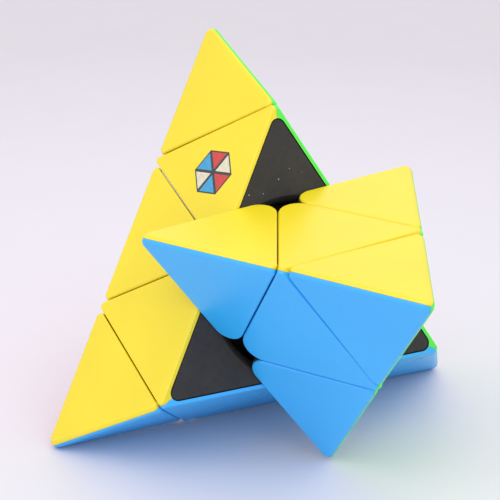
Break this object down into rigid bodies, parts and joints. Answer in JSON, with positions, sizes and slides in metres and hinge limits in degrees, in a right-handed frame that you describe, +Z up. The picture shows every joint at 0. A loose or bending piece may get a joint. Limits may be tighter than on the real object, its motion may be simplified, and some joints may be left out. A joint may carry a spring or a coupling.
{
  "type": "pyramid twisty puzzle",
  "caption": "Four-sided pyramid puzzle in coloured plastic, standing with one corner layer part-turned; its layers and tips turn on screwed axes.",
  "frame": {"origin": "centre of the bounding box on the table the puzzle stands on", "axes": "+Z up from the table, +X along the ridge between the left and right vertices, front vertex towards -Y"},
  "size_m": [0.096, 0.0922, 0.0796],
  "materials": {
    "yellow_plastic": "satin moulded, lightly polished",
    "blue_plastic": "satin moulded, lightly polished",
    "green_plastic": "satin moulded, lightly polished",
    "red_plastic": "satin moulded, lightly polished",
    "dark_plastic": "matte moulded",
    "steel": "bright zinc-plated"
  },
  "bodies": {
    "base": {"core": "dark_plastic", "screw_top": "steel", "spring_top": "steel", "screw_left": "steel", "spring_left": "steel", "screw_right": "steel", "spring_right": "steel", "screw_front": "steel", "spring_front": "steel", "axial_top_body": "dark_plastic", "axial_top_green": "green_plastic", "axial_top_yellow": "yellow_plastic", "axial_top_red": "red_plastic", "axial_left_body": "dark_plastic", "axial_left_blue": "blue_plastic", "axial_left_yellow": "yellow_plastic", "axial_left_red": "red_plastic", "axial_right_body": "dark_plastic", "axial_right_blue": "blue_plastic", "axial_right_green": "green_plastic", "axial_right_red": "red_plastic", "edge_top_left_body": "dark_plastic", "edge_top_left_yellow": "yellow_plastic", "edge_top_left_red": "red_plastic", "edge_top_right_body": "dark_plastic", "edge_top_right_green": "green_plastic", "edge_top_right_red": "red_plastic", "edge_left_right_body": "dark_plastic", "edge_left_right_blue": "blue_plastic", "edge_left_right_red": "red_plastic"},
    "front_layer": {"axial_front_body": "dark_plastic", "axial_front_blue": "blue_plastic", "axial_front_green": "green_plastic", "axial_front_yellow": "yellow_plastic", "edge_top_front_body": "dark_plastic", "edge_top_front_green": "green_plastic", "edge_top_front_yellow": "yellow_plastic", "edge_left_front_body": "dark_plastic", "edge_left_front_blue": "blue_plastic", "edge_left_front_yellow": "yellow_plastic", "edge_right_front_body": "dark_plastic", "edge_right_front_blue": "blue_plastic", "edge_right_front_green": "green_plastic"},
    "top_tip": {"tip_top_body": "dark_plastic", "tip_top_green": "green_plastic", "tip_top_yellow": "yellow_plastic", "tip_top_red": "red_plastic"},
    "left_tip": {"tip_left_body": "dark_plastic", "tip_left_blue": "blue_plastic", "tip_left_yellow": "yellow_plastic", "tip_left_red": "red_plastic"},
    "right_tip": {"tip_right_body": "dark_plastic", "tip_right_blue": "blue_plastic", "tip_right_green": "green_plastic", "tip_right_red": "red_plastic"},
    "front_tip": {"tip_front_body": "dark_plastic", "tip_front_blue": "blue_plastic", "tip_front_green": "green_plastic", "tip_front_yellow": "yellow_plastic"}
  },
  "joints": [
    {"name": "front_layer_turn", "type": "hinge", "parent": "base", "child": "front_layer", "pos_m": [0, 0.00974, 0.03292], "axis": [0, -0.9501, 0.3119], "continuous": true},
    {"name": "top_tip_turn", "type": "hinge", "parent": "base", "child": "top_tip", "pos_m": [0, 0.03417, 0.0646], "axis": [0, 0.6108, 0.7918], "continuous": true},
    {"name": "left_tip_turn", "type": "hinge", "parent": "base", "child": "left_tip", "pos_m": [-0.03266, 0.01652, 0.01085], "axis": [-0.8165, 0.1697, -0.5519], "continuous": true},
    {"name": "right_tip_turn", "type": "hinge", "parent": "base", "child": "right_tip", "pos_m": [0.03266, 0.01652, 0.01085], "axis": [0.8165, 0.1697, -0.5519], "continuous": true},
    {"name": "front_tip_turn", "type": "hinge", "parent": "front_layer", "child": "front_tip", "pos_m": [0, -0.02827, 0.0454], "axis": [0, -0.9501, 0.3119], "continuous": true}
  ]
}
